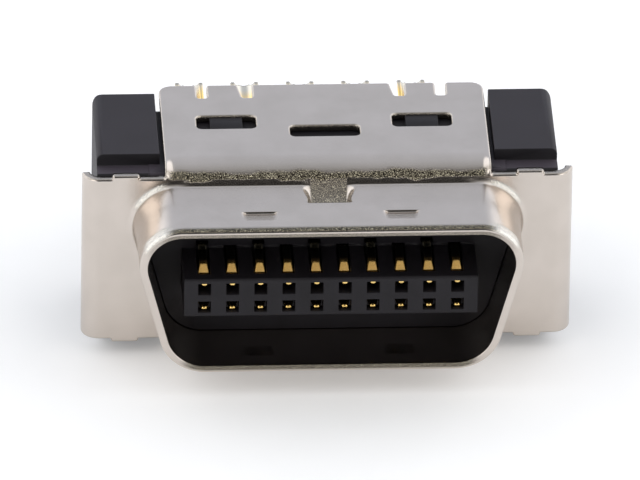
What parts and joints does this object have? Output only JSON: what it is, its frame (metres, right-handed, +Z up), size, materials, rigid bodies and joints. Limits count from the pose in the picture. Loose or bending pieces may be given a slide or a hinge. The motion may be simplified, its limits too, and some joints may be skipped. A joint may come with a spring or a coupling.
{
  "type": "mini delta ribbon connector",
  "caption": "Mini delta ribbon cable plug: drawn nickel-plated shell with a D-shaped mouth and folded plates, black insulator with a tongue, gold-plated ribbon contacts with solder cups.",
  "frame": {"origin": "middle of the tongue's thickness and width, in the plane of the flange's front face", "axes": "+X along the contact rows, to the right seen from the mating side; +Y to the rear, toward the solder cups; +Z up, toward the wide side of the mouth"},
  "size_m": [0.0222, 0.0169, 0.0096],
  "materials": {
    "shell_metal": "nickel plated over drawn steel, satin",
    "insulator_plastic": "black, glass filled, fine moulded grain",
    "contact_gold": "gold plated, smooth"
  },
  "bodies": {
    "root": {"shell": "shell_metal", "insulator": "insulator_plastic", "contact_upper_01": "contact_gold", "contact_upper_02": "contact_gold", "contact_upper_03": "contact_gold", "contact_upper_04": "contact_gold", "contact_upper_05": "contact_gold", "contact_upper_06": "contact_gold", "contact_upper_07": "contact_gold", "contact_upper_08": "contact_gold", "contact_upper_09": "contact_gold", "contact_upper_10": "contact_gold", "contact_lower_01": "contact_gold", "contact_lower_02": "contact_gold", "contact_lower_03": "contact_gold", "contact_lower_04": "contact_gold", "contact_lower_05": "contact_gold", "contact_lower_06": "contact_gold", "contact_lower_07": "contact_gold", "contact_lower_08": "contact_gold", "contact_lower_09": "contact_gold", "contact_lower_10": "contact_gold"}
  },
  "joints": []
}
